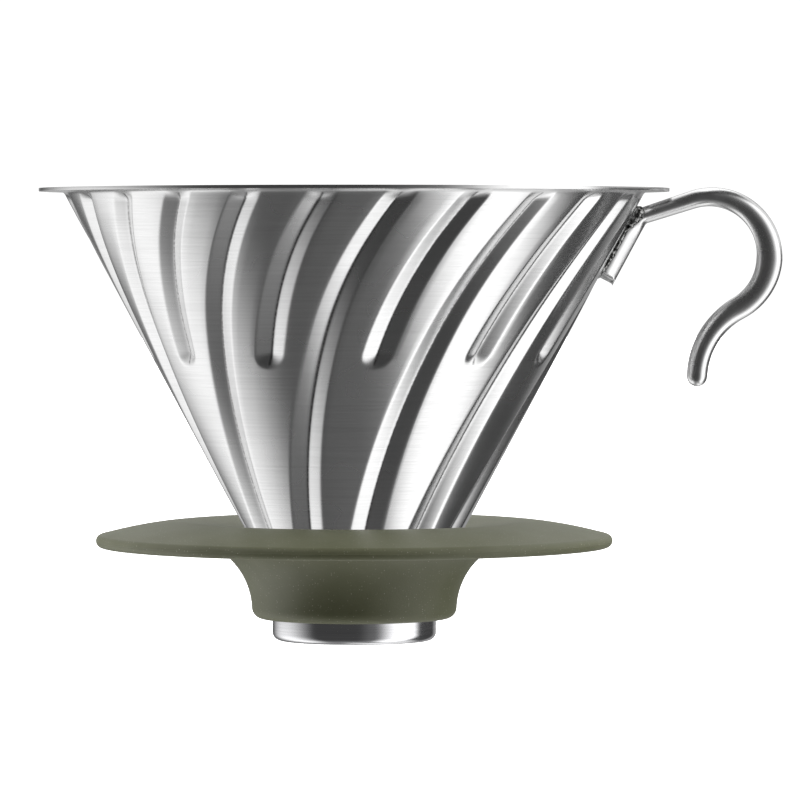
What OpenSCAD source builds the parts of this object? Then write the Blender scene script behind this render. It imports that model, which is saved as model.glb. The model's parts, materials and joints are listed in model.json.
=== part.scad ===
// Cone coffee dripper: pressed steel cone with swirling ribs, wire hook handle,
// steel base ring and a pull-off silicone base.
// Frame: the cone's axis is Z, the foot of the base ring is z = 0, the handle is at +X.

/* [Cone] */
// Outer radius of the flat rim
rim_r = 58; // [56:0.5:60]
// Height of the rim's top face above the foot
height = 83.3; // [82.5:0.1:84]
// Thickness of the steel sheet
sheet = 0.6; // [0.5:0.05:0.8]
// Radius of the outlet hole at the tip
outlet_r = 9.2; // [9:0.1:9.3]
// Radius that the outer wall would have at the foot
wall_foot_r = 9.25; // [9.2:0.05:9.35]
// Growth of the wall's radius for each unit of height
wall_slope = 0.535; // [0.53:0.001:0.54]
// Radius of the bend under the flat rim
rim_bend_r = 1.3; // [1:0.1:2]

/* [Ribs] */
// Number of long ribs, with one short rib between each pair
rib_pairs = 12; // [8:1:12]
// Half width of a rib
rib_half_w = 2.9; // [2:0.1:3]
// Depth of a rib's crease, square to the axis
rib_depth = 1.35; // [0.5:0.05:1.5]
// Height where the short ribs end
short_rib_z = 51; // [45:1:60]

/* [Handle] */
// Thickness of the flattened leg that is welded to the cone
leg_t = 2.9; // [2.6:0.1:3.2]
// Height of the leg's lower end
leg_z = 66.3; // [64:0.1:68]
// Radius of the finger bend's centreline
hook_r = 10.9; // [10:0.1:12]
// Radius of the lower, reverse bend's centreline
tail_r = 15; // [13:0.5:17]
// Upward slope of the straight stretch under the rim, in degrees
hook_rise = 18; // [16:1:18]

/* [Base] */
// Outer radius of the base ring
ring_r = 15.1; // [14.8:0.05:15.2]
// Radius of the silicone saucer
saucer_r = 47.6; // [44:0.1:50]
// Height of the saucer's flat underside
saucer_z = 17.3; // [16.5:0.1:18]
// Height of the saucer's edge
saucer_edge_h = 2.3; // [2:0.1:2.6]
// Height of the collar's lower end
collar_z = 4.05; // [3.5:0.05:5]
// Smallest outer radius of the collar
collar_r = 18.9; // [18.5:0.1:20]

/* [Hidden] */
$fn = 96;

steel_colour = "#b9bbbd";
polished_colour = "#d3d5d7";
weld_colour = "#6d6a66";
silicone_colour = "#7d8070";

wall_angle = atan(wall_slope);              // lean of the wall from the axis
wall_step = sheet / cos(wall_angle);        // the sheet's thickness measured square to the axis
proud = 0.06;                               // how far the plain end rings cover the ribbed wall
ring_cover = 1.2;                           // height over which they cover it
rib_span = 360 / rib_pairs;                 // angle from one long rib to the next
front = -90;                                // the swirl's angles are counted from the -Y side

function wall_r(z) = wall_foot_r + wall_slope * z;

// Points of an arc, from one angle to another in steps
function arc(centre, r, from, to, steps) =
    [for (i = [0:steps]) let (a = from + (to - from) * i / steps) centre + r * [cos(a), sin(a)]];

// ---- cone --------------------------------------------------------------------------------

rim_bend = [wall_r(height - sheet) + rim_bend_r * tan(45 - wall_angle / 2), height - sheet - rim_bend_r];
rim_turn = 90 - wall_angle;                 // the angle that the rim's bend turns through
top_z = height - sheet - rim_bend_r - 1;    // lower end of the plain ring that carries the rim
neck_z = 3.6;                               // upper end of the plain neck

module rim_ring() {
    low = top_z - ring_cover;
    rotate_extrude() polygon(concat(
        [[wall_r(low) + proud, low]],
        [[wall_r(top_z) + proud, top_z]],
        arc(rim_bend, rim_bend_r, 90 + rim_turn, 90, 6),
        [[rim_r, height - sheet], [rim_r, height]],
        arc(rim_bend, rim_bend_r + sheet, 90, 90 + rim_turn, 6),
        [[wall_r(top_z) - wall_step - proud, top_z], [wall_r(low) - wall_step - proud, low]]));
}

module neck() {
    rotate_extrude() polygon([
        [outlet_r, 0],
        [outlet_r + sheet, 0],
        [outlet_r + sheet, (outlet_r + sheet - wall_foot_r) / wall_slope],
        [wall_r(neck_z) + proud, neck_z],
        [wall_r(neck_z) - wall_step - proud, neck_z],
        [outlet_r, (outlet_r + wall_step - wall_foot_r) / wall_slope]]);
}

// Angle of the long ribs at a height: a steady swirl that leans over towards the rim
lean_from_z = 57;
function swirl(z) = 0.37 * z + 0.0012 * z * z - 32.4 + 0.5 * pow(max(0, z - lean_from_z) / 10, 2);

// How far a short rib runs ahead of the middle between two long ones: most at its lower end
short_lead = 0.85;
short_lead_end_z = 74;
function lead(z) = short_lead * ramp(z, short_lead_end_z, short_rib_z);

// 0 to 1 as z goes from a to b
function ramp(z, a, b) = min(1, max(0, (z - a) / (b - a)));
function long_depth(z) = rib_depth * ramp(z, 4.5, 11) * ramp(z, top_z - 1, top_z - 3.2);
function short_depth(z) = rib_depth * ramp(z, short_rib_z, short_rib_z + 2.5) * ramp(z, top_z - 1, top_z - 3.2);

// One rib pair's columns as [angle, depth]: edge, crease and edge of each rib, and the lands' middles
function half_angle(z, most) = min(most, rib_half_w / wall_r(z) * 180 / PI);
function columns(z) = let (
    long_a = half_angle(z, rib_span * 0.31),
    short_a = half_angle(z, rib_span * 0.155),
    short = rib_span / 2 + lead(z),
    land = (long_a + short - short_a) / 2,
    next_land = (short + short_a + rib_span - long_a) / 2)
    [[-long_a, 0], [0, long_depth(z)], [long_a, 0], [land, 0],
     [short - short_a, 0], [short, short_depth(z)], [short + short_a, 0], [next_land, 0]];

rows = [neck_z - ring_cover, 4.5, 8, 11, 16, 22, 29, 36, 43, short_rib_z, short_rib_z + 2.5,
        59, 65, 70, top_z - 5, top_z - 3.2, top_z - 1, top_z];

function ring_points(z, inset) = [
    for (pair = [0:rib_pairs - 1]) for (c = columns(z))
        let (a = front + pair * rib_span + swirl(z) + c[0], r = wall_r(z) - inset - c[1])
        [r * cos(a), r * sin(a), z]];

module ribbed_wall() {
    n = rib_pairs * len(columns(0));
    m = len(rows);
    skins = [for (inset = [0, wall_step]) for (z = rows) each ring_points(z, inset)];
    function at(skin, row, col) = (skin * m + row) * n + col % n;
    outer_faces = [for (k = [0:m - 2], i = [0:n - 1]) each [
        [at(0, k, i), at(0, k + 1, i), at(0, k + 1, i + 1)],
        [at(0, k, i), at(0, k + 1, i + 1), at(0, k, i + 1)]]];
    inner_faces = [for (k = [0:m - 2], i = [0:n - 1]) each [
        [at(1, k, i), at(1, k + 1, i + 1), at(1, k + 1, i)],
        [at(1, k, i), at(1, k, i + 1), at(1, k + 1, i + 1)]]];
    end_faces = [for (i = [0:n - 1]) each [
        [at(0, 0, i), at(0, 0, i + 1), at(1, 0, i + 1)],
        [at(0, 0, i), at(1, 0, i + 1), at(1, 0, i)],
        [at(0, m - 1, i), at(1, m - 1, i + 1), at(0, m - 1, i + 1)],
        [at(0, m - 1, i), at(1, m - 1, i), at(1, m - 1, i + 1)]]];
    polyhedron(skins, concat(outer_faces, inner_faces, end_faces));
}

module cone() {
    color(steel_colour) union() {
        ribbed_wall();
        rim_ring();
        neck();
    }
}

// ---- handle ------------------------------------------------------------------------------

// A stretch of the handle's centreline, starting at [x, z, heading]: straight when turn is 0,
// otherwise an arc of radius r. Gives the stations after the start.
function straight(s, len, n) =
    [for (i = [1:n]) [s[0] + len * i / n * cos(s[2]), s[1] + len * i / n * sin(s[2]), s[2]]];
function bend(s, r, turn, n) = let (side = sign(turn)) [
    for (i = [1:n]) let (h = s[2] + turn * i / n)
        [s[0] + side * r * (sin(h) - sin(s[2])), s[1] - side * r * (cos(h) - cos(s[2])), h]];
function end_of(list) = list[len(list) - 1];

leg_gap = 0.03;                             // the weld's gap between the leg and the cone
leg_heading = 90 - wall_angle;
leg_x = wall_r(leg_z) + (leg_t / 2 + leg_gap) / cos(wall_angle);
corner_r = 2.4;
corner_turn = hook_rise - leg_heading;

leg = concat([[leg_x, leg_z, leg_heading]], straight([leg_x, leg_z, leg_heading], 12.4, 4));
corner = bend(end_of(leg), corner_r, corner_turn, 5);
reach = straight(end_of(corner), 9.1, 3);
finger_bend = bend(end_of(reach), hook_r, -169, 18);
tail = bend(end_of(finger_bend), tail_r, 59, 9);
stations = concat(leg, corner, reach, finger_bend, tail);

// Half thickness in the handle's own plane and half width across it, at a station's number:
// where the rod is flattened it widens, so its cross-section's area stays the same
rod_area = 4.3;
last = len(stations) - 1;
function half_t(i) = lookup(i, [[0, leg_t / 2], [9, leg_t / 2 + 0.1], [14, 1.75],
                                [24, 2.42], [33, 2.03], [last, 1.92]]);
function half_w(i) = rod_area / half_t(i);

sides = 16;
function section(s, t, w) = [
    for (k = [0:sides - 1]) let (a = 360 * k / sides, u = t * sin(a))
        [s[0] - u * sin(s[2]), w * cos(a), s[1] + u * cos(s[2])]];

// The tail's rounded end, as ever smaller sections ahead of the last station
tip_steps = 4;
function tip_section(k) = let (s = end_of(stations), t = half_t(last), a = 90 * k / (tip_steps + 0.6))
    section([s[0] + t * sin(a) * cos(s[2]), s[1] + t * sin(a) * sin(s[2]), s[2]],
            t * cos(a), half_w(last) * cos(a));

module hook_handle() {
    rings = concat([for (i = [0:last]) section(stations[i], half_t(i), half_w(i))],
                   [for (k = [1:tip_steps]) tip_section(k)]);
    points = [for (ring = rings) each ring];
    m = len(rings);
    walls = [for (j = [0:m - 2], k = [0:sides - 1]) let (a = j * sides, k2 = (k + 1) % sides) each [
        [a + k, a + k2, a + sides + k2],
        [a + k, a + sides + k2, a + sides + k]]];
    ends = [[for (k = [sides - 1:-1:0]) k], [for (k = [0:sides - 1]) (m - 1) * sides + k]];
    color(polished_colour) polyhedron(points, concat(walls, ends));
}

// Weld bead along each side of the leg, sunk a little into the leg and the cone
bead_r = 0.75;
bead_y = 2.6;
bead_lift = 0.35;                           // the bead's axis above the cone's surface
module handle_welds() {
    color(weld_colour) for (side = [-1, 1]) hull() for (z = [leg_z + 1, leg_z + 12])
        translate([wall_r(z) + bead_lift / cos(wall_angle), side * bead_y, z]) sphere(bead_r, $fn = 24);
}

// ---- base ring ---------------------------------------------------------------------------

ring_t = 0.8;
ring_corner_r = 1.5;
lip_r = 12.4;                               // inner edge of the ring's turned-in foot
seat_gap = 0.02;                            // between the ring's top edge and the cone
function cone_z(r) = (r - seat_gap - wall_foot_r) / wall_slope;

module base_ring() {
    corner_centre = [ring_r - ring_corner_r, ring_corner_r];
    color(polished_colour) rotate_extrude() polygon(concat(
        [[lip_r, ring_t], [lip_r, 0]],
        arc(corner_centre, ring_corner_r, -90, 0, 5),
        [[ring_r, cone_z(ring_r)], [ring_r - ring_t, cone_z(ring_r - ring_t)]],
        arc(corner_centre, ring_corner_r - ring_t, 0, -90, 3)));
}

// Inside fillet weld that joins the ring's top edge to the cone
weld_h = 1.3;
weld_bite = 0.12;                           // how far the weld reaches into both
module ring_weld() {
    inner = ring_r - ring_t;
    top = cone_z(inner);
    color(weld_colour) rotate_extrude() polygon([
        [wall_r(top - weld_h) - weld_bite, top - weld_h],
        [inner + weld_bite, top - weld_h],
        [inner + weld_bite, top - 0.1],
        [wall_r(top - 0.1) - weld_bite, top - 0.1]]);
}

// ---- silicone base -----------------------------------------------------------------------

grip_gap = 0.05;                            // between the silicone bore and the base ring
cone_gap = 0.17;                            // between the silicone's seat and the cone
funnel_z = 19.5;                            // where the saucer's top meets the cone
crest = [31.4, 22];                         // highest ring of the saucer's top
collar_bow_r = 13.2;                        // radius of the collar's hollow flare
collar_bow_z = 5.5;                         // height where the flare is narrowest
collar_corner_r = 2;
edge_corner_r = 1.05;

module silicone_base() {
    bore_r = ring_r + grip_gap;
    seat_z = (bore_r - cone_gap - wall_foot_r) / wall_slope;
    flare_end = asin((saucer_z - collar_bow_z) / collar_bow_r);
    edge_x = saucer_r - edge_corner_r;
    bow_centre = [collar_r + collar_bow_r, collar_bow_z];
    color(silicone_colour) rotate_extrude() polygon(concat(
        [[bore_r, seat_z], [bore_r, collar_z]],
        arc([collar_r - collar_corner_r, collar_z + collar_corner_r], collar_corner_r, -90, 0, 4),
        arc(bow_centre, collar_bow_r, 180, 180 - flare_end, 9),
        arc([edge_x, saucer_z + edge_corner_r], edge_corner_r, -90, 0, 3),
        arc([edge_x, saucer_z + saucer_edge_h - edge_corner_r], edge_corner_r, 0, 80, 3),
        [crest + [8, -0.75], crest + [3, -0.1], crest, crest - [3, 0.25], crest - [7, 1.35]],
        [[wall_r(funnel_z) + cone_gap, funnel_z]]));
}

cone();
hook_handle();
handle_welds();
base_ring();
ring_weld();
silicone_base();
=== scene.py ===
"""Pour over dripper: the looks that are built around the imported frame.

The object is a pressed steel cone with swirling ribs, a bent hook handle welded to it, a steel
ring under its tip and a silicone base pushed over the ring. Each is a class below, and each
class dresses its own piece in one of the finishes. Lengths in the classes are millimetres.
"""

import json
import logging
import math
from dataclasses import dataclass
from enum import Enum

import bmesh
import bpy
import numpy as np
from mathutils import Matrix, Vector


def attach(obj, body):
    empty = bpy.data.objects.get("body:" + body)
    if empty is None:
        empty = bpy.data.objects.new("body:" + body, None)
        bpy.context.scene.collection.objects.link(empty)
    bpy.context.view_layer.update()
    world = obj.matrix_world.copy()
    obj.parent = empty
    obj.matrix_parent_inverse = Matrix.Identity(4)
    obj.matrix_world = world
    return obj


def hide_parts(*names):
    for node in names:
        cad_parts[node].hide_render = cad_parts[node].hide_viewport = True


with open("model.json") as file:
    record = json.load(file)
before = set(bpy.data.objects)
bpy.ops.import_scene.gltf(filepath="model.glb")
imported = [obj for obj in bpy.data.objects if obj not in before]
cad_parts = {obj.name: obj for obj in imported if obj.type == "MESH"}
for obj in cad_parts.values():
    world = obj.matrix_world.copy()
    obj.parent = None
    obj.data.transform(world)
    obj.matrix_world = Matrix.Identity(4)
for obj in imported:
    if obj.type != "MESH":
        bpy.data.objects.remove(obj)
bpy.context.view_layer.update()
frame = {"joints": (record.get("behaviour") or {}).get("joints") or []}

LOG = logging.getLogger("dripper")
MM = 0.001
FULL_TURN = 2 * math.pi

Outline = list[tuple[float, float]]
Links = dict[str, object]


# ---- shared helpers ------------------------------------------------------------------------


def linear(hex_colour: str) -> tuple[float, float, float, float]:
    """Turn an sRGB hex colour into the linear colour that a shader socket takes.

    Args:
        hex_colour: Six hex digits with a leading hash.

    Returns:
        Linear red, green, blue and an alpha of one.
    """
    channels = [int(hex_colour[i:i + 2], 16) / 255 for i in (1, 3, 5)]
    red, green, blue = (c / 12.92 if c <= 0.04045 else ((c + 0.055) / 1.055) ** 2.4 for c in channels)
    return red, green, blue, 1.0


def add_node(tree: bpy.types.NodeTree, kind: str, inputs: Links | None = None,
             **settings: object) -> bpy.types.Node:
    """Add a node, set its properties, and set or link its inputs.

    Args:
        tree: Tree that the node goes into.
        kind: The node's type name.
        inputs: Value or output socket for each input, by the input's name or number.
        settings: Properties of the node itself.

    Returns:
        The new node.
    """
    node = tree.nodes.new(kind)
    for name, value in settings.items():
        setattr(node, name, value)
    for name, value in (inputs or {}).items():
        if isinstance(value, bpy.types.NodeSocket):
            tree.links.new(value, node.inputs[name])
        else:
            node.inputs[name].default_value = value
    return node


def fresh_material(name: str) -> tuple[bpy.types.Material, bpy.types.NodeTree, bpy.types.NodeSocket]:
    """Start a node material.

    Args:
        name: The material's name.

    Returns:
        The material, its node tree, and the Object coordinates in that tree.
    """
    material = bpy.data.materials.new(name)
    material.use_nodes = True
    tree = material.node_tree
    tree.nodes.clear()
    return material, tree, add_node(tree, "ShaderNodeTexCoord").outputs["Object"]


def arc(centre: tuple[float, float], radius: float, start: float, end: float, steps: int) -> Outline:
    """Give the points of an arc in a profile's own plane.

    Args:
        centre: Centre as (radius from the axis, height).
        radius: Radius of the arc.
        start: First point's angle in degrees, counted from straight out.
        end: Last point's angle in degrees.
        steps: Number of steps between the two.

    Returns:
        The points, both ends included.
    """
    angles = (math.radians(start + (end - start) * i / steps) for i in range(steps + 1))
    return [(centre[0] + radius * math.cos(a), centre[1] + radius * math.sin(a)) for a in angles]


def smooth_step(value: np.ndarray | float, low: float, high: float) -> np.ndarray | float:
    """Rise smoothly from 0 at low to 1 at high."""
    share = np.clip((value - low) / (high - low), 0, 1)
    return share * share * (3 - 2 * share)


def deselect_everything() -> None:
    """Leave nothing selected and no object in edit mode."""
    if bpy.context.object and bpy.context.object.mode != "OBJECT":
        bpy.ops.object.mode_set(mode="OBJECT")
    bpy.ops.object.select_all(action="DESELECT")


def apply_modifier(piece: bpy.types.Object, kind: str, **settings: object) -> None:
    """Add a modifier to a piece and apply it at once.

    Args:
        piece: The piece to finish.
        kind: The modifier's type.
        settings: The modifier's properties.
    """
    bpy.context.view_layer.objects.active = piece
    modifier = piece.modifiers.new(kind.title(), kind)
    for name, value in settings.items():
        setattr(modifier, name, value)
    bpy.ops.object.modifier_apply(modifier=modifier.name)


def finish_mesh(piece: bpy.types.Object, smooth_angle: float = 40.0) -> None:
    """Apply the piece's place to its mesh and shade it smooth up to an angle.

    Args:
        piece: The piece to finish.
        smooth_angle: Edges sharper than this many degrees stay crisp.
    """
    deselect_everything()
    piece.select_set(True)
    bpy.context.view_layer.objects.active = piece
    bpy.ops.object.transform_apply(location=True, rotation=True, scale=True)
    bpy.ops.object.shade_smooth_by_angle(angle=math.radians(smooth_angle))
    piece.select_set(False)


def turn_outwards(merge_distance: float = 1e-6) -> None:
    """Merge doubles and point all faces outwards on the mesh in edit mode."""
    bpy.ops.mesh.select_all(action="SELECT")
    bpy.ops.mesh.remove_doubles(threshold=merge_distance)
    bpy.ops.mesh.normals_make_consistent(inside=False)


def spun_piece(name: str, outline: Outline, steps: int) -> bpy.types.Object:
    """Spin a closed outline about the Z axis into a solid ring.

    Args:
        name: The piece's name.
        outline: Points as (radius, height) in millimetres, in order round the section.
        steps: Number of steps in the full turn.

    Returns:
        The piece, with its place in its mesh.
    """
    deselect_everything()
    bpy.ops.mesh.primitive_circle_add(vertices=len(outline), radius=1)
    piece = bpy.context.object
    piece.name = name
    bpy.ops.object.mode_set(mode="EDIT")
    section = bmesh.from_edit_mesh(piece.data)
    for vertex, (radius, height) in zip(section.verts, outline):
        vertex.co = (radius * MM, 0, height * MM)
    bmesh.update_edit_mesh(piece.data)
    bpy.ops.mesh.select_all(action="SELECT")
    bpy.ops.mesh.spin(steps=steps, angle=FULL_TURN, center=(0, 0, 0), axis=(0, 0, 1))
    turn_outwards()
    bpy.ops.object.mode_set(mode="OBJECT")
    return piece


def lofted_piece(name: str, sections: list["Section"], sides: int) -> bpy.types.Object:
    """Bridge a row of oval sections into a closed rod.

    Args:
        name: The piece's name.
        sections: The sections in order along the rod.
        sides: Number of points in each section.

    Returns:
        The piece, with its place in its mesh.
    """
    deselect_everything()
    first = sections[0]
    bpy.ops.mesh.primitive_circle_add(vertices=sides, radius=first.half_t * MM, location=first.place,
                                      rotation=first.rotation)
    piece = bpy.context.object
    piece.name = name
    bpy.ops.object.transform_apply(location=True, rotation=True, scale=True)
    bpy.ops.object.mode_set(mode="EDIT")
    bpy.ops.mesh.select_mode(type="VERT")
    bpy.ops.transform.resize(value=(1, first.half_w / first.half_t, 1), center_override=first.place)
    for number, section in enumerate(sections[1:], start=1):
        bpy.ops.mesh.select_all(action="DESELECT")
        bpy.ops.mesh.primitive_circle_add(vertices=sides, radius=section.half_t * MM, location=section.place,
                                          rotation=section.rotation)
        bpy.ops.transform.resize(value=(1, section.half_w / section.half_t, 1), center_override=section.place)
        mesh = bmesh.from_edit_mesh(piece.data)
        mesh.verts.ensure_lookup_table()
        for vertex in mesh.verts[(number - 1) * sides:]:
            vertex.select = True
        mesh.select_flush_mode()
        for face in mesh.faces:
            face.select = False
        for edge in mesh.edges:
            low, high = sorted(v.index // sides for v in edge.verts)
            edge.select = low == high and low >= number - 1
        bmesh.update_edit_mesh(piece.data)
        bpy.ops.mesh.bridge_edge_loops()
    bpy.ops.mesh.select_all(action="DESELECT")
    mesh = bmesh.from_edit_mesh(piece.data)
    for edge in mesh.edges:
        edge.select = edge.is_boundary
    bmesh.update_edit_mesh(piece.data)
    bpy.ops.mesh.edge_face_add()
    turn_outwards()
    bpy.ops.object.mode_set(mode="OBJECT")
    return piece


def enrol(piece: bpy.types.Object, body: str, node: str, material: bpy.types.Material) -> None:
    """Dress a finished piece and tie it to the frame.

    Args:
        piece: The finished piece.
        body: CAD body that it moves with.
        node: CAD node that it stands for.
        material: Its finish.
    """
    piece.data.materials.clear()
    piece.data.materials.append(material)
    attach(piece, body)
    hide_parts(node)
    LOG.info("%s: %d faces, stands for %s on %s", piece.name, len(piece.data.polygons), node, body)


# ---- finishes ------------------------------------------------------------------------------


class Grain(Enum):
    """Which way the fine lines of a worked metal surface run."""

    ROUND_AXIS = "round the Z axis"
    ALONG_ROD = "along a rod in the XZ plane"


@dataclass(frozen=True)
class WorkedSteel:
    """Stainless steel, worked by belt, brush or buff.

    The lines that the tool leaves show as fine streaks, and they smear reflections across them.
    """

    name: str
    colour: str                 # the metal's own reflection colour
    streak_colour: str          # the same metal where a line lies across the light
    roughness: float
    roughness_swing: float      # how far the roughness wanders over the surface
    anisotropy: float
    grain: Grain
    line_pitch: float           # mm from line to line, as coarse as it needs to be to show
    line_length: float          # mm that one line runs
    line_depth: float           # mm
    blotch_size: float          # mm across of the soft uneven patches that handling leaves
    painted_crease_shade: float = 1.0   # share of the metal's colour left in a crease, where shade is painted in
    shade_patch_pitch: float = 0.45  # mm from one darker patch to the next in that painted crease shade

    def material(self) -> bpy.types.Material:
        """Build the node material for this finish."""
        material, tree, place = fresh_material(self.name)
        across, along = 1 / (self.line_pitch * MM), 1 / (self.line_length * MM)
        scale = (along, along, across) if self.grain is Grain.ROUND_AXIS else (along * 3, across, along * 3)
        stretched = add_node(tree, "ShaderNodeMapping", {"Vector": place, "Scale": scale})
        lines = add_node(tree, "ShaderNodeTexNoise", {
            "Vector": stretched.outputs[0], "Scale": 1.0, "Detail": 3.0, "Roughness": 0.65})
        blotches = add_node(tree, "ShaderNodeTexNoise", {
            "Vector": place, "Scale": 1 / (self.blotch_size * MM), "Detail": 2.0})
        colour = add_node(tree, "ShaderNodeValToRGB", {"Fac": lines.outputs["Fac"]})
        colour.color_ramp.elements[0].position = 0.3
        colour.color_ramp.elements[0].color = linear(self.streak_colour)
        colour.color_ramp.elements[1].position = 0.62
        colour.color_ramp.elements[1].color = linear(self.colour)
        roughness = add_node(tree, "ShaderNodeMapRange", {
            "Value": blotches.outputs["Fac"], "From Min": 0.3, "From Max": 0.7,
            "To Min": self.roughness - self.roughness_swing, "To Max": self.roughness + self.roughness_swing})
        bump = add_node(tree, "ShaderNodeBump", {"Height": lines.outputs["Fac"], "Strength": 1.0,
                                                 "Distance": self.line_depth * MM})
        metal = colour.outputs["Color"]
        # Painted shade: the creases are darkened in the colour, standing in for the shade in the folds
        if self.painted_crease_shade < 1:
            metal = self.paint_crease_shade(tree, place, metal)
        shader = add_node(tree, "ShaderNodeBsdfPrincipled", {
            "Base Color": metal, "Metallic": 1.0, "Roughness": roughness.outputs["Result"],
            "Anisotropic": self.anisotropy, "Anisotropic Rotation": 0.25, "Normal": bump.outputs["Normal"]})
        add_node(tree, "ShaderNodeOutputMaterial", {"Surface": shader.outputs["BSDF"]})
        return material

    def paint_crease_shade(self, tree: bpy.types.NodeTree, place: bpy.types.NodeSocket,
                      metal: bpy.types.NodeSocket) -> bpy.types.NodeSocket:
        """Darken the creases unevenly with painted shade, standing in for the shade that falls in the folds.

        Args:
            tree: The material's tree.
            place: Object coordinates.
            metal: The metal's colour.

        Returns:
            The colour with the painted crease shade in it.
        """
        crease_mask = add_node(tree, "ShaderNodeAttribute", attribute_name="crease")
        shade_patches = add_node(tree, "ShaderNodeTexNoise", {
            "Vector": place, "Scale": 1 / (self.shade_patch_pitch * MM), "Detail": 2.0})
        patchy_shade = add_node(tree, "ShaderNodeMapRange", {
            "Value": shade_patches.outputs["Fac"], "From Min": 0.35, "From Max": 0.6,
            "To Min": 0.55, "To Max": 1.0})
        share = add_node(tree, "ShaderNodeMath", {0: crease_mask.outputs["Fac"], 1: patchy_shade.outputs["Result"]},
                         operation="MULTIPLY")
        shade = add_node(tree, "ShaderNodeMapRange", {
            "Value": share.outputs[0], "From Min": 0.0, "From Max": 1.0,
            "To Min": 1.0, "To Max": self.painted_crease_shade})
        grey = add_node(tree, "ShaderNodeCombineColor", {i: shade.outputs["Result"] for i in range(3)})
        return add_node(tree, "ShaderNodeMixRGB", {"Fac": 1.0, "Color1": metal, "Color2": grey.outputs[0]},
                        blend_type="MULTIPLY").outputs[0]


@dataclass(frozen=True)
class WeldMetal:
    """Weld metal left as it froze: dark with oxide, lumpy, glinting on its ripples."""

    name: str
    colour: str
    oxide_colour: str
    roughness: float
    lump_size: float            # mm
    lump_depth: float = 0.1     # mm

    def material(self) -> bpy.types.Material:
        """Build the node material for this finish."""
        material, tree, place = fresh_material(self.name)
        lumps = add_node(tree, "ShaderNodeTexNoise", {"Vector": place, "Scale": 1 / (self.lump_size * MM),
                                                      "Detail": 3.0})
        colour = add_node(tree, "ShaderNodeValToRGB", {"Fac": lumps.outputs["Fac"]})
        colour.color_ramp.elements[0].position = 0.35
        colour.color_ramp.elements[0].color = linear(self.oxide_colour)
        colour.color_ramp.elements[1].position = 0.65
        colour.color_ramp.elements[1].color = linear(self.colour)
        bump = add_node(tree, "ShaderNodeBump", {"Height": lumps.outputs["Fac"], "Strength": 1.0,
                                                 "Distance": self.lump_depth * MM})
        shader = add_node(tree, "ShaderNodeBsdfPrincipled", {
            "Base Color": colour.outputs["Color"], "Metallic": 1.0, "Roughness": self.roughness,
            "Normal": bump.outputs["Normal"]})
        add_node(tree, "ShaderNodeOutputMaterial", {"Surface": shader.outputs["BSDF"]})
        return material


@dataclass(frozen=True)
class MouldedSilicone:
    """Silicone rubber from a fine blasted mould: matte, softly sheened, with pale filler specks."""

    name: str
    colour: str
    bloom_colour: str           # the paler haze that handling and powder leave
    speck_colour: str
    roughness: float
    speck_pitch: float          # mm from one speck to the next
    skin_grain: float           # mm across of the mould's blasted texture
    skin_depth: float = 0.04    # mm
    bloom_size: float = 9.0     # mm across of the hazy patches

    def material(self) -> bpy.types.Material:
        """Build the node material for this finish."""
        material, tree, place = fresh_material(self.name)
        haze = add_node(tree, "ShaderNodeTexNoise", {
            "Vector": place, "Scale": 1 / (self.bloom_size * MM), "Detail": 3.0})
        haze_share = add_node(tree, "ShaderNodeMapRange", {
            "Value": haze.outputs["Fac"], "From Min": 0.35, "From Max": 0.75, "To Min": 0.0, "To Max": 0.5})
        base = add_node(tree, "ShaderNodeMixRGB", {"Fac": haze_share.outputs["Result"],
                                                   "Color1": linear(self.colour),
                                                   "Color2": linear(self.bloom_colour)})
        cells = add_node(tree, "ShaderNodeTexVoronoi", {
            "Vector": place, "Scale": 1 / (self.speck_pitch * MM)})
        dot = add_node(tree, "ShaderNodeMapRange", {
            "Value": cells.outputs["Distance"], "From Min": 0.09, "From Max": 0.22,
            "To Min": 1.0, "To Max": 0.0})
        draw = add_node(tree, "ShaderNodeSeparateColor", {"Color": cells.outputs["Color"]})
        strength = add_node(tree, "ShaderNodeMapRange", {
            "Value": draw.outputs["Red"], "From Min": 0.45, "From Max": 1.0, "To Min": 0.0, "To Max": 0.6})
        speck = add_node(tree, "ShaderNodeMath", {0: dot.outputs["Result"], 1: strength.outputs["Result"]},
                         operation="MULTIPLY")
        specked = add_node(tree, "ShaderNodeMixRGB", {"Fac": speck.outputs[0], "Color1": base.outputs[0],
                                                      "Color2": linear(self.speck_colour)})
        skin = add_node(tree, "ShaderNodeTexNoise", {"Vector": place, "Scale": 1 / (self.skin_grain * MM),
                                                     "Detail": 2.0})
        bump = add_node(tree, "ShaderNodeBump", {"Height": skin.outputs["Fac"], "Strength": 0.6,
                                                 "Distance": self.skin_depth * MM})
        shader = add_node(tree, "ShaderNodeBsdfPrincipled", {
            "Base Color": specked.outputs[0], "Roughness": self.roughness, "IOR": 1.41,
            "Sheen Weight": 0.12, "Sheen Roughness": 0.4,
            "Sheen Tint": linear("#e6e8d6"), "Normal": bump.outputs["Normal"]})
        add_node(tree, "ShaderNodeOutputMaterial", {"Surface": shader.outputs["BSDF"]})
        return material


# ---- the object ----------------------------------------------------------------------------


class Rib(Enum):
    """The two lengths of rib, which take turns round the cone."""

    LONG = 0
    SHORT = 1


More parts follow.
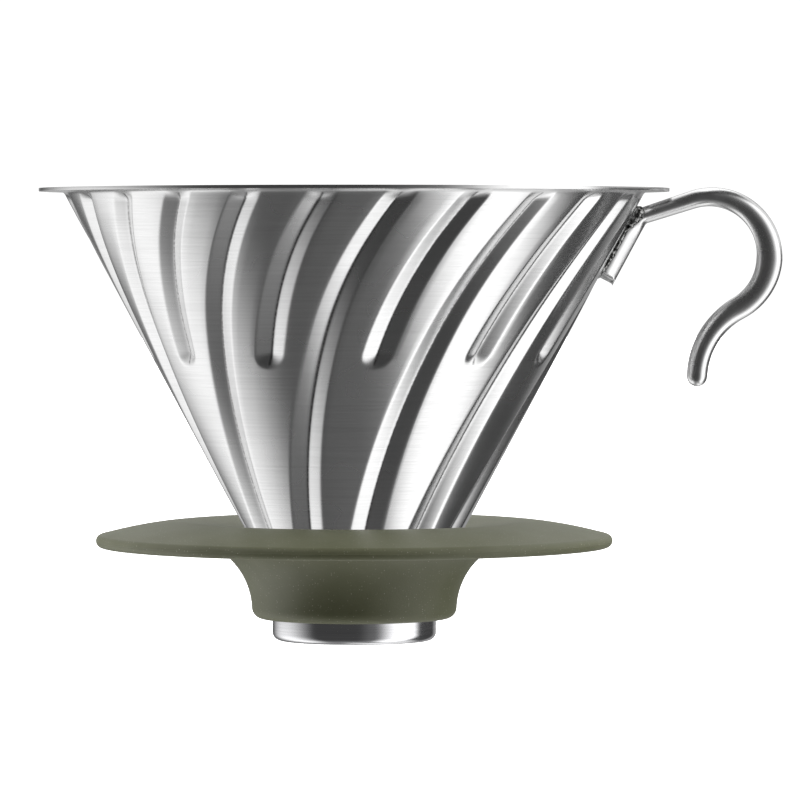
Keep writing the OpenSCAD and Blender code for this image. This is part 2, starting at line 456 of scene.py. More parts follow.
@dataclass
class Cone:
    """The pressed cone: outlet, ribbed wall and flat rim, made of one sheet."""

    material: bpy.types.Material
    rim_r: float = 58.0
    height: float = 83.3
    sheet: float = 0.6
    outlet_r: float = 9.2
    wall_foot_r: float = 9.25
    wall_slope: float = 0.535
    rim_bend_r: float = 1.3
    rib_pairs: int = 12
    rib_half_w: float = 2.9
    rib_depth: float = 1.35
    short_rib_z: float = 51.0
    rib_fade_z: float = 81.0    # from here the ribs run out into the rim's bend
    rib_end_z: float = 82.6
    lean_from_z: float = 57.0
    short_lead: float = 0.85    # degrees that a short rib's lower end runs ahead of its middle place
    short_lead_end_z: float = 74.0
    valley: float = 0.13        # share of the half width over which the crease is rounded
    shoulder: float = 0.24      # share over which the rib's edge is rounded
    edge_round: float = 0.15
    crease_shade_width: float = 0.34   # mm to each side of a crease that gets painted shade
    crease_shade_from: float = 0.3    # rib depth in mm from which a crease gets painted shade

    # Where the sheet's columns lie across a rib, as shares of its half width
    rib_shares: tuple[float, ...] = (0.06, 0.14, 0.28, 0.5, 0.7, 0.84, 0.92, 1.0, 1.1)
    land_columns: int = 3

    # How much of one pair's span half a long and half a short rib may take where they crowd together
    most_shares: tuple[float, float] = (0.31, 0.155)
    rib_start_z: float = 4.5    # where a long rib starts to sink in
    rib_full_z: float = 12.0    # where it has its full depth

    @property
    def span(self) -> float:
        """Degrees from one long rib to the next."""
        return 360 / self.rib_pairs

    @property
    def lean(self) -> float:
        """Degrees that the wall leans out from upright."""
        return math.degrees(math.atan(self.wall_slope))

    @property
    def slant(self) -> float:
        """Length along the wall for each unit of height."""
        return math.hypot(1, self.wall_slope)

    def half_width(self, rib: Rib, radius: float) -> float:
        """Half the width of a rib in mm, where the wall has the radius."""
        most = math.radians(self.span * self.most_shares[rib.value]) * radius
        return min(self.rib_half_w, most / self.rib_shares[-1])

    def wall_r(self, z: np.ndarray | float) -> np.ndarray | float:
        """Outer radius of the plain wall at a height."""
        return self.wall_foot_r + self.wall_slope * z

    def swirl(self, z: np.ndarray | float) -> np.ndarray | float:
        """Angle of the ribs at a height in degrees: a steady swirl that leans over towards the rim."""
        lean = 0.5 * (np.maximum(0, z - self.lean_from_z) / 10) ** 2
        return 0.37 * z + 0.0012 * z * z - 32.4 + lean

    def short_angle(self, z: float) -> float:
        """Angle from a long rib's crease to the next short rib's crease at a height, in degrees."""
        share = (self.short_lead_end_z - z) / (self.short_lead_end_z - self.short_rib_z)
        return 180 / self.rib_pairs + self.short_lead * min(1.0, max(0.0, share))

    def profile(self) -> Outline:
        """Give the sheet's outer side, from the outlet's edge to the rim's edge."""
        under = self.height - self.sheet
        bend = (self.wall_r(under) + self.rim_bend_r * math.tan(math.radians(45 - self.lean / 2)),
                under - self.rim_bend_r)
        neck_r = self.outlet_r + self.sheet
        neck_top = (neck_r - self.wall_foot_r) / self.wall_slope
        bend_foot = bend[1] + self.rim_bend_r * math.sin(math.radians(180 - self.lean))
        short_end = self.short_rib_z
        levels = np.concatenate([
            np.linspace(neck_top, short_end - 1, 38, endpoint=False),
            np.linspace(short_end - 1, short_end + 4, 12, endpoint=False),
            np.linspace(short_end + 4, self.rib_fade_z - 4, 14, endpoint=False),
            np.linspace(self.rib_fade_z - 4, bend_foot, 10, endpoint=False)])
        wall = [(float(self.wall_r(z)), float(z)) for z in levels]
        rounded = arc(bend, self.rim_bend_r, 180 - self.lean, 90, 6)
        flat = [(bend[0] + (self.rim_r - bend[0]) * share, under) for share in (0.5, 1.0)]
        return [(neck_r, 0.0), (neck_r, neck_top / 2)] + wall + rounded + flat

    def column_angles(self, z: float) -> tuple[np.ndarray, np.ndarray]:
        """Angle of each column in one rib pair, and the side distance of each from its rib's crease.

        Args:
            z: Height of the row.

        Returns:
            Angles in degrees from the long rib's crease, and distances in mm.
        """
        span = self.span
        radius = float(self.wall_r(z))
        shares = np.array([-s for s in reversed(self.rib_shares)] + [0.0] + list(self.rib_shares))
        long_half, short_half = (math.degrees(self.half_width(rib, radius) / radius) for rib in Rib)
        long_part = shares * long_half
        short_part = self.short_angle(z) + shares * short_half
        fractions = np.arange(1, self.land_columns + 1) / (self.land_columns + 1)
        first_land = long_part[-1] + (short_part[0] - long_part[-1]) * fractions
        second_land = short_part[-1] + (span + long_part[0] - short_part[-1]) * fractions
        angles = np.concatenate([long_part, first_land, short_part, second_land])
        from_long = np.abs((angles + span / 2) % span - span / 2)
        from_short = np.abs(angles - self.short_angle(z))
        return angles, np.radians(np.stack([from_long, from_short])) * radius

    def rib_section(self, share: np.ndarray) -> np.ndarray:
        """Depth across a rib as a share of its full depth: straight flanks, rounded crease and edges."""
        start, stop = 1 - self.shoulder / 2, 1 + self.shoulder / 2
        flank = 1 - share
        edge = (stop - share) ** 2 / (2 * (stop - start))
        crease = 1 - self.valley / 2 - share ** 2 / (2 * self.valley)
        section = np.where(share < start, flank, np.where(share < stop, edge, 0))
        return np.where(share < self.valley, crease, section)

    def rib_depths(self, z: float, side: np.ndarray) -> np.ndarray:
        """How far the press pushes each column in at a height.

        Args:
            z: Height of the row.
            side: Distances from the long and the short rib's crease in mm.

        Returns:
            Depths in mm, measured square to the axis.
        """
        depth = np.zeros(side.shape[1])
        for rib in Rib:
            half_w = self.half_width(rib, float(self.wall_r(z)))
            fade = 1 - smooth_step(z, self.rib_fade_z, self.rib_end_z)
            below = 0.0
            if rib is Rib.LONG:
                fade *= smooth_step(z, self.rib_start_z, self.rib_full_z)
            else:
                below = max(0.0, (self.short_rib_z + half_w / self.slant - z) * self.slant)
            share = np.hypot(side[rib.value], below) / half_w
            depth += self.rib_section(share) * self.rib_depth * half_w / self.rib_half_w * fade
        return depth

    def surface_r(self, z: float, azimuth: float) -> float:
        """Outer radius of the ribbed wall.

        Args:
            z: Height in mm.
            azimuth: Degrees from +X towards +Y.

        Returns:
            Radius in mm.
        """
        half_span = self.span / 2
        turn = (azimuth + 90 - float(self.swirl(z)) + half_span) % self.span - half_span
        radius = float(self.wall_r(z))
        side = np.radians([[abs(turn)], [abs(turn % self.span - self.short_angle(z))]]) * radius
        return radius - float(self.rib_depths(z, side)[0])

    def build(self) -> bpy.types.Object:
        """Press the cone from a plain tapered tube, then give the sheet its thickness."""
        profile = self.profile()
        columns = self.rib_pairs * len(self.column_angles(self.height)[0])
        deselect_everything()
        bpy.ops.mesh.primitive_cone_add(
            vertices=columns, radius1=self.outlet_r * MM, radius2=self.rim_r * MM, depth=self.height * MM,
            end_fill_type="NOTHING", location=(0, 0, self.height * MM / 2))
        piece = bpy.context.object
        piece.name = "cone_shell"
        bpy.ops.object.transform_apply(location=True, rotation=True, scale=True)
        bpy.ops.object.mode_set(mode="EDIT")
        tube = bmesh.from_edit_mesh(piece.data)
        bpy.ops.mesh.select_mode(type="EDGE")
        bpy.ops.mesh.select_all(action="DESELECT")
        for edge in tube.edges:
            edge.select = abs(edge.verts[0].co.z - edge.verts[1].co.z) > MM
        bmesh.update_edit_mesh(piece.data)
        bpy.ops.mesh.subdivide(number_cuts=len(profile) - 2)
        bpy.ops.object.mode_set(mode="OBJECT")
        self.press(piece, profile, columns)
        bpy.ops.object.mode_set(mode="EDIT")
        bpy.ops.mesh.select_all(action="SELECT")
        bpy.ops.mesh.normals_make_consistent(inside=False)
        bpy.ops.object.mode_set(mode="OBJECT")
        self.face_outwards(piece)
        apply_modifier(piece, "SOLIDIFY", thickness=self.sheet * MM, offset=-1.0, use_even_offset=True)
        apply_modifier(piece, "BEVEL", width=self.edge_round * MM, segments=2, limit_method="ANGLE",
                       angle_limit=math.radians(70))
        finish_mesh(piece, 50)
        enrol(piece, "dripper", "cone", self.material)
        return piece

    def press(self, piece: bpy.types.Object, profile: Outline, columns: int) -> None:
        """Move the tube's points to the profile, the swirl and the ribs.

        Args:
            piece: The subdivided tube.
            profile: Radius and height of each row.
            columns: Number of columns round the tube.
        """
        points = np.empty(len(piece.data.vertices) * 3)
        piece.data.vertices.foreach_get("co", points)
        points = points.reshape(-1, 3)
        share_up = points[:, 2] / (self.height * MM)
        row = np.rint(share_up * (len(profile) - 1)).astype(int)
        turn = np.arctan2(points[:, 1], points[:, 0]) / FULL_TURN * columns
        column = np.rint(turn).astype(int) % columns
        per_pair = columns // self.rib_pairs
        crease = np.zeros(len(piece.data.vertices))
        for number, (radius, z) in enumerate(profile):
            angles, side = self.column_angles(z)
            depth = self.rib_depths(z, side)
            here = row == number
            pair, place = np.divmod(column[here], per_pair)
            angle = np.radians(-90 + self.swirl(z) + pair * self.span + angles[place])
            out = (radius - depth[place]) * MM
            level = np.full(out.shape, z * MM)
            points[here] = np.stack([out * np.cos(angle), out * np.sin(angle), level], axis=1)
            # Mask of the deep creases, where the steel's material paints shade into the colour
            crease_shade_share = np.clip(1 - side.min(axis=0) / self.crease_shade_width, 0, 1) * (depth > self.crease_shade_from)
            crease[here] = crease_shade_share[place]
        piece.data.vertices.foreach_set("co", points.ravel())
        # The crease attribute carries the painted crease-shade mask to the material
        marks = piece.data.attributes.new("crease", "FLOAT", "POINT")
        marks.data.foreach_set("value", crease)
        piece.data.update()

    @staticmethod
    def face_outwards(piece: bpy.types.Object) -> None:
        """Turn the open sheet's faces away from the axis if they point at it."""
        face = piece.data.polygons[len(piece.data.polygons) // 2]
        away = Vector((face.center.x, face.center.y, 0))
        if face.normal.dot(away) < 0:
            bpy.ops.object.mode_set(mode="EDIT")
            bpy.ops.mesh.flip_normals()
            bpy.ops.object.mode_set(mode="OBJECT")


@dataclass(frozen=True)
class Section:
    """One oval section of a rod that lies in the XZ plane."""

    x: float
    z: float
    heading: float              # degrees from +X towards +Z
    half_t: float               # half the thickness in the XZ plane
    half_w: float               # half the width along Y
    y: float = 0.0

    @property
    def place(self) -> tuple[float, float, float]:
        """Centre in metres."""
        return self.x * MM, self.y * MM, self.z * MM

    @property
    def rotation(self) -> tuple[float, float, float]:
        """Rotation that points a flat circle's axis along the heading."""
        return 0.0, math.radians(90 - self.heading), 0.0


@dataclass
class HookHandle:
    """The handle: one steel rod, flattened on the cone, run out under the rim and bent into a hook."""

    material: bpy.types.Material
    cone: Cone
    leg_t: float = 2.9          # thickness of the leg that lies on the cone
    leg_z: float = 66.3         # height of its lower end
    leg_gap: float = 0.03
    leg_length: float = 12.4
    corner_r: float = 2.4
    hook_rise: float = 18.0     # degrees that the rod climbs on its way out
    reach: float = 9.1          # length of that straight stretch
    hook_r: float = 10.9
    hook_turn: float = -169.0
    tail_r: float = 15.0
    tail_turn: float = 59.0
    rod_area: float = 4.3       # half thickness times half width, which flattening keeps
    end_slant: float = 1.1      # how much shorter the near side of the cut end is
    flatness: float = 0.36      # 1 leaves the leg's section oval, and 0 would square it
    valley_fill: float = 0.75   # share of a rib's depth that the hammered leg fills
    side_taper: float = 0.14    # how much the leg's sides draw in from the cone outwards
    face_taper: float = 0.28    # how much more they draw in towards its outer face
    face_from: float = -0.35    # where that starts, from -1 on the cone to 1 on the outer face
    leg_blend: float = 1.2      # stretch over which the flat leg becomes a round rod
    leg_bounds: float = 1.5     # what lies further off its line, in half thicknesses, isn't the leg
    edge_round: float = 0.25
    sides: int = 40

    # Half thickness along the rod, each with the distance past the start of its stretch
    root_half_t: float = 1.55
    bend_half_t: tuple[float, float] = (3.6, 1.75)
    finger_half_t: tuple[float, float] = (21.4, 2.42)
    tail_half_t: tuple[float, float] = (5.2, 2.03)
    tip_half_t: float = 1.92
    tip_angles: tuple[int, ...] = (20, 38, 54, 68, 79, 86)

    def stations(self) -> list[tuple[float, float, float, float]]:
        """Walk the centreline: x, z, heading and the distance walked, in mm and degrees."""
        lean = self.cone.lean
        x = self.cone.wall_r(self.leg_z) + (self.leg_t / 2 + self.leg_gap) / math.cos(math.radians(lean))
        walk = [(float(x), self.leg_z, 90 - lean, 0.0)]
        stretches = (
            (self.leg_length, 0.0, 8),
            (None, self.hook_rise - (90 - lean), 8),
            (self.reach, 0.0, 6),
            (None, self.hook_turn, 44),
            (None, self.tail_turn, 20))
        radii = iter((self.corner_r, self.hook_r, self.tail_r))
        for length, turn, steps in stretches:
            run = length if length is not None else math.radians(abs(turn)) * next(radii)
            for _ in range(steps):
                x, z, heading, walked = walk[-1]
                middle = math.radians(heading + turn / steps / 2)
                step = run / steps
                if turn:
                    half = math.radians(abs(turn) / steps / 2)
                    step *= math.sin(half) / half
                walk.append((x + step * math.cos(middle), z + step * math.sin(middle), heading + turn / steps,
                             walked + run / steps))
        return walk

    def sections(self) -> list[Section]:
        """Give the rod its thickness along the centreline, and its rounded tip."""
        walk = self.stations()
        corner_end = self.leg_length + math.radians(90 - self.cone.lean - self.hook_rise) * self.corner_r
        bend_start = corner_end + self.reach
        tail_start = bend_start + math.radians(-self.hook_turn) * self.hook_r
        half_thickness = (
            (0.0, self.leg_t / 2),
            (corner_end, self.root_half_t),
            (bend_start + self.bend_half_t[0], self.bend_half_t[1]),
            (bend_start + self.finger_half_t[0], self.finger_half_t[1]),
            (tail_start + self.tail_half_t[0], self.tail_half_t[1]),
            (walk[-1][3], self.tip_half_t))
        marks, values = zip(*half_thickness)
        sections = []
        for x, z, heading, walked in walk:
            half_t = float(np.interp(walked, marks, values))
            sections.append(Section(x, z, heading, half_t, self.rod_area / half_t))
        last = sections[-1]
        ahead = math.radians(last.heading)
        for angle in self.tip_angles:
            out, shrink = last.half_t * math.sin(math.radians(angle)), math.cos(math.radians(angle))
            x, z = last.x + out * math.cos(ahead), last.z + out * math.sin(ahead)
            sections.append(Section(x, z, last.heading, last.half_t * shrink, last.half_w * shrink))
        return sections

    def build(self) -> bpy.types.Object:
        """Loft the rod, hammer its leg flat on the cone's side and cut it off on a slant."""
        piece = lofted_piece("hook_rod", self.sections(), self.sides)
        self.flatten_leg(piece)
        apply_modifier(piece, "BEVEL", width=self.edge_round * MM, segments=3, limit_method="ANGLE",
                       angle_limit=math.radians(60))
        finish_mesh(piece)
        enrol(piece, "dripper", "hook_handle", self.material)
        return piece

    def flatten_leg(self, piece: bpy.types.Object) -> None:
        """Hammer the leg to a flat-sided bar, wider on the cone's side, and slant its cut end.

        Args:
            piece: The lofted rod.
        """
        start = self.sections()[0]
        ahead = math.radians(start.heading)
        along = Vector((math.cos(ahead), 0, math.sin(ahead)))
        outwards = Vector((math.sin(ahead), 0, -math.cos(ahead)))
        origin = Vector((start.x, 0, start.z))
        for vertex in piece.data.vertices:
            point = vertex.co / MM - origin
            walked = point.dot(along)
            out, side = point.dot(outwards) / start.half_t, point.y / start.half_w
            if walked > self.leg_length or abs(out) > self.leg_bounds:
                continue
            share = float(1 - smooth_step(walked, self.leg_length - self.leg_blend, self.leg_length))
            flat_out = math.copysign(abs(out) ** self.flatness, out)
            flat_side = math.copysign(abs(side) ** self.flatness, side)
            outer = max(0.0, flat_out - self.face_from)
            flat_side *= 1 - self.side_taper * (flat_out + 1) - self.face_taper * outer
            z = point.dot(along) * along.z + origin.z
            azimuth = math.degrees(math.atan2(point.y, origin.x))
            valley = float(self.cone.wall_r(z)) - self.cone.surface_r(z, azimuth)
            point += outwards * (flat_out - out) * start.half_t * share
            point -= outwards * max(0.0, -flat_out) * self.valley_fill * valley * share
            point.y += (flat_side - side) * start.half_w * share
            at_cut_end = walked < self.leg_gap
            if at_cut_end:
                point += along * self.end_slant * max(0.0, -side)
            vertex.co = (point + origin) * MM


@dataclass
class HandleWelds:
    """A weld bead along each side of the handle's leg."""

    material: bpy.types.Material
    cone: Cone
    handle: HookHandle
    bead_r: float = 0.62
    bead_y: float = 2.75        # from the leg's middle to the bead's
    ripple_pitch: float = 1.15
    ripple: tuple[float, float] = (0.84, 0.2)   # the radius between ripples, and what each adds, as shares
    length: float = 15.0
    start_step: float = 0.4     # how far above the leg's lower end the bead starts
    corner_swell: float = 0.75  # extra radius where the bead fills the corner under the rim
    corner_stretch: tuple[float, float] = (5.5, 1.5)    # from where to where it swells, from its top end
    valley_sink: float = 0.8    # share of a rib's depth that the bead sinks by
    steps: int = 56
    sides: int = 14

    def bead(self, side: int) -> bpy.types.Object:
        """Loft one rippled bead that fills the gap between the leg and the cone.

        Args:
            side: 1 for the far side, -1 for the near side.

        Returns:
            The bead.
        """
        heading = 90 - self.cone.lean
        swell_from, swell_to = (self.length - step for step in self.corner_stretch)
        sections = []
        for i in range(self.steps + 1):
            along = self.length * i / self.steps
            z = self.handle.leg_z + self.start_step + along / self.cone.slant
            # A bead laid by hand wanders sideways in long and short waves, and in and out a little
            wander = 0.12 * math.sin(1.9 * along) + 0.07 * math.sin(4.3 * along + side)
            lift = 0.05 + 0.05 * math.sin(3.1 * along + side)
            y = side * (self.bead_y + wander)
            wall = float(self.cone.wall_r(z))
            gap = wall - self.cone.surface_r(z, math.degrees(y / wall))
            ripple = abs(math.sin(math.pi * along / self.ripple_pitch))
            ends = math.sqrt(max(0.02, 1 - (2 * i / self.steps - 1) ** 10))
            swell = self.corner_swell * float(smooth_step(along, swell_from, swell_to))
            radius = (self.bead_r + swell) * (self.ripple[0] + self.ripple[1] * ripple) * ends
            x = wall - self.valley_sink * gap + 0.9 * swell + lift
            sections.append(Section(x, z, heading, radius, radius, y))
        return lofted_piece("weld_bead", sections, self.sides)

    def build(self) -> bpy.types.Object:
        """Make both beads and join them into one piece."""
        near, far = self.bead(-1), self.bead(1)
        deselect_everything()
        near.select_set(True)
        far.select_set(True)
        bpy.context.view_layer.objects.active = near
        bpy.ops.object.join()
        near.name = "handle_weld_beads"
        finish_mesh(near, 60)
        enrol(near, "dripper", "handle_welds", self.material)
        return near


@dataclass
class BaseRing:
    """The steel ring under the cone's tip, with a turned-in foot."""

    material: bpy.types.Material
    cone: Cone
    ring_r: float = 15.1
    wall: float = 0.8
    corner_r: float = 1.5
    lip_r: float = 12.4
    seat_gap: float = 0.02
    ease: float = 0.2           # how far the top edge is eased
    steps: int = 256

    def seat_z(self, radius: float) -> float:
        """Height at which the cone's wall passes a radius, less the gap."""
        return (radius - self.seat_gap - self.cone.wall_foot_r) / self.cone.wall_slope

    def outline(self) -> Outline:
        """Give the ring's section, with its edges eased."""
        inner = self.ring_r - self.wall
        centre = (self.ring_r - self.corner_r, self.corner_r)
        ease = self.ease
        lip = arc((self.lip_r + self.wall / 2, self.wall / 2), self.wall / 2, 90, 270, 6)
        foot = arc(centre, self.corner_r, -90, 0, 8)
        outer_top, inner_top = self.seat_z(self.ring_r), self.seat_z(inner)
        top = [(self.ring_r, outer_top - ease), (self.ring_r - ease * 0.3, outer_top - ease * 0.5),
               (inner + ease * 0.5, inner_top + ease * 0.3), (inner, inner_top - ease)]
        inside = arc(centre, self.corner_r - self.wall, 0, -90, 4)
        return lip + foot + top + inside[:-1]

    def build(self) -> bpy.types.Object:
        """Spin the ring."""
        piece = spun_piece("foot_ring", self.outline(), self.steps)
        finish_mesh(piece)
        enrol(piece, "dripper", "base_ring", self.material)
        return piece


@dataclass
class RingWeld:
    """The weld inside the ring's top edge, hidden by the silicone and seen only from below."""

    material: bpy.types.Material
    cone: Cone
    ring: BaseRing
    height: float = 1.3
    bite: float = 0.12          # how deep it has melted into the cone and the ring
    throat: float = 0.42        # how far its face hangs below its edges
    top_gap: float = 0.1        # from the ring's top edge down to the weld's
    steps: int = 512

    def build(self) -> bpy.types.Object:
        """Spin the weld's section."""
        inner = self.ring.ring_r - self.ring.wall
        top = self.ring.seat_z(inner)
        low = top - self.height
        high = top - self.top_gap
        face = arc(((self.cone.wall_r(low) + inner) / 2, low), self.throat, 180, 360, 6)
        outline = [(self.cone.wall_r(low) - self.bite, low)] + face[1:-1] + [
            (inner + self.bite, low), (inner + self.bite, high),
            (self.cone.wall_r(high) - self.bite, high)]
        piece = spun_piece("ring_weld_bead", outline, self.steps)
        finish_mesh(piece, 60)
        enrol(piece, "dripper", "ring_weld", self.material)
        return piece


@dataclass
class SiliconeBase:
    """The silicone moulding: saucer on top, hollow-sided collar below, a bore for the ring."""

    material: bpy.types.Material
    cone: Cone
    ring: BaseRing
    saucer_r: float = 47.6
    saucer_z: float = 17.3
    edge_h: float = 2.3
    edge_corner_r: float = 1.05
    collar_z: float = 4.05
    collar_r: float = 18.9
    collar_bow_r: float = 13.2
    collar_bow_z: float = 5.5
    collar_corner_r: float = 2.0
    grip_gap: float = 0.05
    cone_gap: float = 0.17
    funnel_z: float = 19.5
    crest_r: float = 31.4
    crest_z: float = 22.0
    bore_ease: float = 0.3      # how far the bore's lower edge is eased
    parting_r: float = 0.06     # how far the mould's parting line stands proud
    under_rows: tuple[float, ...] = (27.5, 34.0, 41.0)  # radii of the rows across the flat underside
    steps: int = 320

    def outline(self) -> Outline:
        """Give the moulding's section, counter-clockwise from the top of its bore."""
        bore_r = self.ring.ring_r + self.grip_gap
        seat_z = (bore_r - self.cone_gap - self.cone.wall_foot_r) / self.cone.wall_slope
        flare_end = math.degrees(math.asin((self.saucer_z - self.collar_bow_z) / self.collar_bow_r))
        edge_x = self.saucer_r - self.edge_corner_r
        top_z = self.saucer_z + self.edge_h
        part_z = self.saucer_z + self.edge_h * 0.5
        bore = [(bore_r, seat_z), (bore_r, (seat_z + self.collar_z) / 2),
                (bore_r, self.collar_z + self.bore_ease), (bore_r + self.bore_ease, self.collar_z)]
        corner = arc((self.collar_r - self.collar_corner_r, self.collar_z + self.collar_corner_r),
                     self.collar_corner_r, -90, -8, 8)
        flare = arc((self.collar_r + self.collar_bow_r, self.collar_bow_z), self.collar_bow_r,
                    178, 180 - flare_end, 24)
        under = [(r, self.saucer_z) for r in (*self.under_rows, edge_x - 1)]
        low_edge = arc((edge_x, self.saucer_z + self.edge_corner_r), self.edge_corner_r, -90, 0, 7)
        parting = [(self.saucer_r, part_z - self.parting_r), (self.saucer_r + self.parting_r, part_z),
                   (self.saucer_r, part_z + self.parting_r)]
        high_edge = arc((edge_x, top_z - self.edge_corner_r), self.edge_corner_r, 0, 80, 7)
        return bore + corner + flare + under + low_edge + parting + high_edge + self.top_line()

    def top_line(self) -> Outline:
        """Give the saucer's top: a gentle rise to the crest, then a hollow funnel down to the cone."""
        rim = (self.saucer_r - self.edge_corner_r, self.saucer_z + self.edge_h)
        seat = (float(self.cone.wall_r(self.funnel_z)) + self.cone_gap, self.funnel_z)
        rise, fall = [], []
        for share in np.linspace(0.08, 1, 14):
            r = rim[0] + (self.crest_r - rim[0]) * share
            rise.append((float(r), rim[1] + (self.crest_z - rim[1]) * (1 - (1 - share) ** 1.7)))
        for share in np.linspace(0.07, 1, 14):
            r = self.crest_r + (seat[0] - self.crest_r) * share
            fall.append((float(r), self.crest_z + (seat[1] - self.crest_z) * float(share) ** 1.5))
        return rise + fall

    def build(self) -> bpy.types.Object:
        """Spin the moulding."""
        piece = spun_piece("silicone_saucer", self.outline(), self.steps)
        finish_mesh(piece, 50)
        enrol(piece, "base", "silicone_base", self.material)
        piece.visible_glossy = False
        return piece


# ---- the studio ----------------------------------------------------------------------------


class Lights(Enum):
    """Which surfaces a card lights."""

    ALL = "every surface"
    MATTE = "matte surfaces only"
    METAL = "mirror surfaces only"


@dataclass(frozen=True)
class Card:
    """A soft white card that stands round the object, seen in the metal.

    Azimuths are degrees from the camera's side towards +X, elevations degrees above level.
    """

    brightness: float
    start: float
    end: float
    start_soft: float
    end_soft: float
    low: float = -95.0
    high: float = 95.0
    level_soft: float = 15.0
    lights: Lights = Lights.ALL


@dataclass
class Studio:
    """Floor, cards and camera."""

    distance: float = 1000.0    # from the object's axis to the camera
    eye_x: float = 2.0
    eye_z: float = 72.0
    aim_x: float = 8.43
    aim_z: float = 44.3
    view_width: float = 147.5   # how much of the object's plane the picture holds
    floor_size: float = 12000.0
    floor_room: float = 10.0    # room under the foot beyond the base's travel
    ambient: float = 0.055
    cards: tuple[Card, ...] = (
        Card(0.72, -143, -84, 46, 56, low=-64, high=40),
        Card(0.53, -143, -84, 46, 64, low=-64, high=-10, level_soft=34),
        Card(1.45, 48, 99, 40, 15, low=-66, high=52),
        Card(0.8, 104, 146, 12, 20, low=5, high=54, level_soft=8),
        Card(0.08, 16, 60, 24, 24, low=-66, high=52),
        Card(0.78, 97, 172, 16, 20, low=-80, high=-42, level_soft=16),
        Card(0.3, 150, 200, 14, 12),
        Card(0.45, -200, -167, 12, 12),
        Card(0.055, -200, 200, 1, 1, high=-50, level_soft=26, lights=Lights.METAL),
        Card(0.12, -200, 200, 1, 1, high=-64, level_soft=12, lights=Lights.METAL),
        Card(0.4, -200, 200, 1, 1, high=-83, level_soft=8, lights=Lights.METAL),
        Card(1.1, 150, 200, 25, 12, low=30),
        Card(1.1, -200, -150, 12, 25, low=30),
        Card(2.2, -170, -45, 40, 40, low=22, level_soft=30, lights=Lights.MATTE),
        Card(1.7, 45, 170, 40, 40, low=22, level_soft=30, lights=Lights.MATTE),
        Card(1.6, 155, 200, 30, 12, low=22, level_soft=30, lights=Lights.MATTE),
        Card(1.6, -200, -155, 12, 30, low=22, level_soft=30, lights=Lights.MATTE),
        Card(2.2, -125, -80, 30, 30, high=22, lights=Lights.MATTE),
    )

    def camera(self) -> None:
        """Place the camera at the height and distance of the view."""
        data = bpy.data.cameras.new("camera")
        data.sensor_width = 36.0
        camera = bpy.data.objects.new("camera", data)
        bpy.context.scene.collection.objects.link(camera)
        camera.location = Vector((self.eye_x, -self.distance, self.eye_z)) * MM
        aim = Vector((self.aim_x, 0, self.aim_z)) * MM
        sight = aim - camera.location
        camera.rotation_euler = sight.to_track_quat("-Z", "Y").to_euler()
        data.lens = data.sensor_width * sight.length / (self.view_width * MM)
        data.clip_start = 0.1
        bpy.context.scene.camera = camera

    def world(self) -> None:
        """Light the object with the cards, and show the camera a white room."""
        world = bpy.data.worlds.new("studio")
        bpy.context.scene.world = world
        world.use_nodes = True
        tree = world.node_tree
        tree.nodes.clear()
        ray = add_node(tree, "ShaderNodeTexCoord").outputs["Generated"]
        parts = add_node(tree, "ShaderNodeSeparateXYZ", {"Vector": ray})
        towards = add_node(tree, "ShaderNodeMath", {0: parts.outputs["Y"], 1: -1.0}, operation="MULTIPLY")
        azimuth = add_node(tree, "ShaderNodeMath", {0: parts.outputs["X"], 1: towards.outputs[0]},
                           operation="ARCTAN2").outputs[0]
        elevation = add_node(tree, "ShaderNodeMath", {0: parts.outputs["Z"]}, operation="ARCSINE").outputs[0]
        path = add_node(tree, "ShaderNodeLightPath")
        matte = path.outputs["Is Diffuse Ray"]
        mirror = add_node(tree, "ShaderNodeMath", {0: 1.0, 1: matte}, operation="SUBTRACT").outputs[0]
        reach = {Lights.MATTE: matte, Lights.METAL: mirror}
        total = self.ambient
        for card in self.cards:
            edges = (
                (azimuth, card.start, card.start_soft, 0, 1),
                (azimuth, card.end, card.end_soft, 1, 0),
                (elevation, card.low, card.level_soft, 0, 1),
                (elevation, card.high, card.level_soft, 1, 0))
            light = card.brightness
            for angle, middle, soft, before, after in edges:
                window = add_node(tree, "ShaderNodeMapRange", {
                    "Value": angle, "From Min": math.radians(middle - soft / 2),
                    "From Max": math.radians(middle + soft / 2), "To Min": before, "To Max": after},
                    interpolation_type="SMOOTHSTEP")
                light = add_node(tree, "ShaderNodeMath", {0: light, 1: window.outputs["Result"]},
                                 operation="MULTIPLY").outputs[0]
            if card.lights is not Lights.ALL:
                light = add_node(tree, "ShaderNodeMath", {0: light, 1: reach[card.lights]},
                                 operation="MULTIPLY").outputs[0]
            total = add_node(tree, "ShaderNodeMath", {0: total, 1: light}, operation="ADD").outputs[0]
        lit = add_node(tree, "ShaderNodeBackground", {"Color": (1, 1, 1, 1), "Strength": total})
        seen = add_node(tree, "ShaderNodeBackground", {"Color": (1, 1, 1, 1), "Strength": 1.1})
        mixed = add_node(tree, "ShaderNodeMixShader", {
            0: path.outputs["Is Camera Ray"], 1: lit.outputs[0], 2: seen.outputs[0]})
        add_node(tree, "ShaderNodeOutputWorld", {"Surface": mixed.outputs[0]})

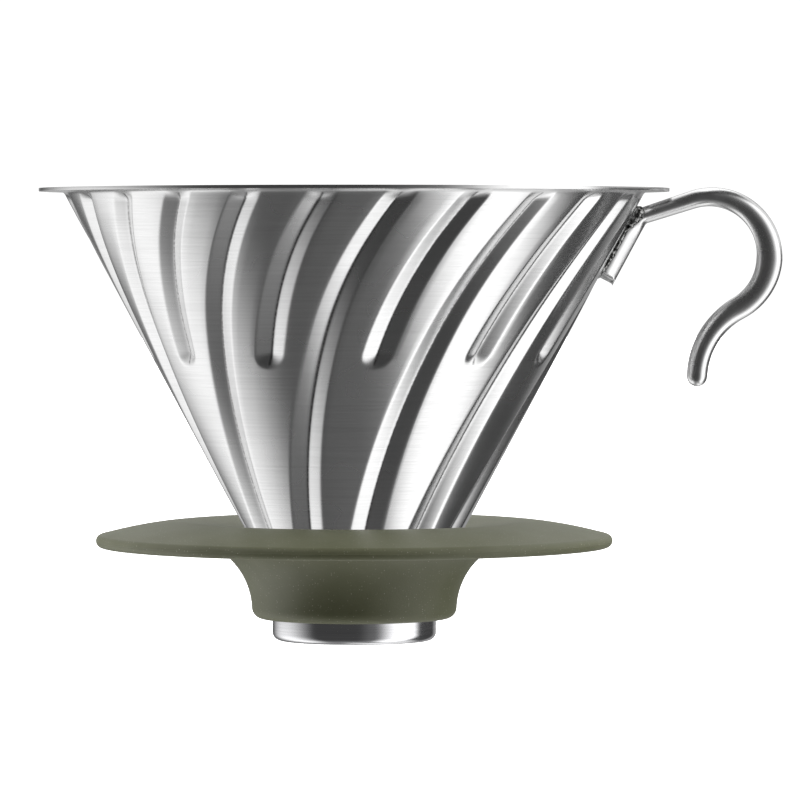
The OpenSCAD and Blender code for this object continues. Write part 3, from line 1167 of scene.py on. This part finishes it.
    def floor(self) -> None:
        """Lay a pale floor under the base's lowest reach, clear from below and out of the reflections."""
        deselect_everything()
        travel = max(joint["range_m"][1] for joint in frame["joints"])
        level = -travel - self.floor_room * MM
        bpy.ops.mesh.primitive_plane_add(size=self.floor_size * MM, location=(0, 0, level))
        floor = bpy.context.object
        floor.name = "floor"
        material = bpy.data.materials.new("pale_floor")
        material.use_nodes = True
        tree = material.node_tree
        shader = tree.nodes["Principled BSDF"]
        shader.inputs["Base Color"].default_value = linear("#f2f2f2")
        shader.inputs["Roughness"].default_value = 0.9
        shader.inputs["Specular IOR Level"].default_value = 0.0
        shader.inputs["Emission Color"].default_value = (1, 1, 1, 1)
        shader.inputs["Emission Strength"].default_value = 1.0
        below = add_node(tree, "ShaderNodeNewGeometry").outputs["Backfacing"]
        clear = add_node(tree, "ShaderNodeBsdfTransparent")
        sided = add_node(tree, "ShaderNodeMixShader", {0: below, 1: shader.outputs[0], 2: clear.outputs[0]})
        tree.links.new(sided.outputs[0], tree.nodes["Material Output"].inputs["Surface"])
        floor.data.materials.append(material)
        floor.visible_glossy = False
        floor.visible_diffuse = False
        floor.visible_transmission = False
        floor.visible_shadow = False

    def build(self) -> None:
        """Set the whole studio up."""
        self.camera()
        self.world()
        self.floor()
        bpy.context.scene.view_settings.view_transform = "Standard"


def main() -> None:
    """Build every piece in order and report it."""
    logging.basicConfig(level=logging.INFO, format="%(name)s: %(message)s")
    brushed = WorkedSteel("stainless_brushed_round", "#e3e3e3", "#dadada", 0.27, 0.03, 0.7, Grain.ROUND_AXIS,
                          0.3, 18, 0.0018, 16, painted_crease_shade=0.22).material()
    polished = WorkedSteel("stainless_buffed_rod", "#ececec", "#e0e0e0", 0.28, 0.04, 0.2, Grain.ALONG_ROD,
                           0.4, 20, 0.003, 7).material()
    turned = WorkedSteel("stainless_turned_ring", "#ececee", "#dcdcde", 0.16, 0.03, 0.4, Grain.ROUND_AXIS,
                         0.3, 25, 0.003, 8).material()
    weld = WeldMetal("weld_as_frozen", "#b4b4b3", "#1b1b1b", 0.22, 0.5).material()
    silicone = MouldedSilicone("silicone_olive_blasted", "#66684f", "#777963", "#cfd0c0",
                               0.5, 0.5, 0.34).material()

    Studio().build()
    cone = Cone(brushed)
    cone.build()
    handle = HookHandle(polished, cone)
    handle.build()
    HandleWelds(weld, cone, handle).build()
    ring = BaseRing(turned, cone)
    ring.build()
    RingWeld(weld, cone, ring).build()
    SiliconeBase(silicone, cone, ring).build()


if __name__ == "__main__":
    main()
